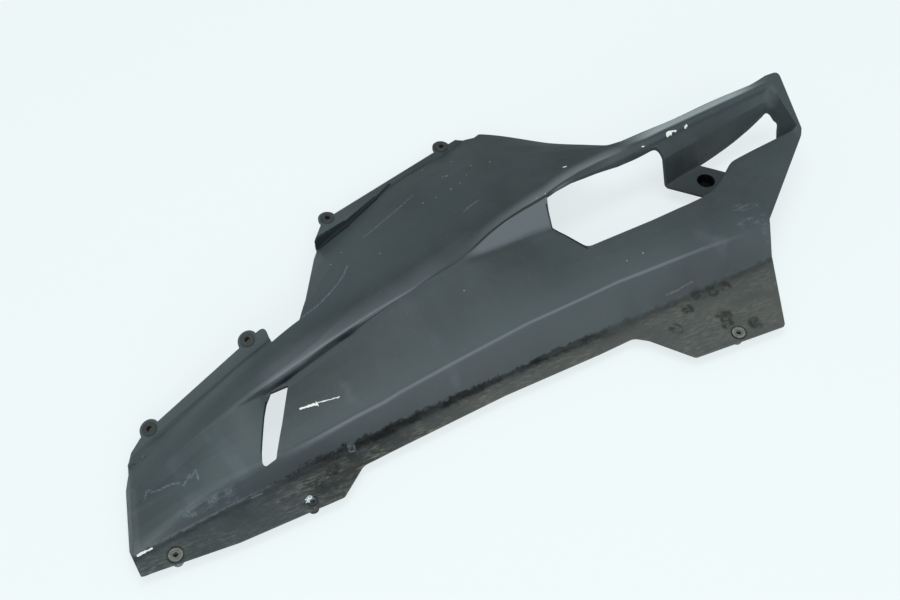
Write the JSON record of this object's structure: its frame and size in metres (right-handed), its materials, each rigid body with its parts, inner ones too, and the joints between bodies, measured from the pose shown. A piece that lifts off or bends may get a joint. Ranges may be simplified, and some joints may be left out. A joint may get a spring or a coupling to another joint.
{
  "type": "motorcycle belly pan",
  "caption": "Worn black moulded side half of a motorcycle belly pan, with vent openings, flanges and rubber well nuts.",
  "frame": {"origin": "middle of the part's length and width, on the floor it lies on", "axes": "+X along the lower flange towards the rim end, +Y up the motorcycle to the upper flange, +Z out of the outer face"},
  "size_m": [0.7975, 0.3734, 0.0778],
  "materials": {
    "panel_plastic": "fine grain, scuffed and dusty",
    "sleeve_rubber": "matte rubber",
    "insert_brass": "dull machined brass",
    "worn_rubber": "torn and dusty rubber",
    "bare_insert": "bright worn metal"
  },
  "bodies": {
    "root": {"belly_pan": "panel_plastic", "well_nut_sleeves": "sleeve_rubber", "well_nut_inserts": "insert_brass", "worn_well_nut_sleeve": "worn_rubber", "worn_well_nut_insert": "bare_insert"}
  },
  "joints": []
}
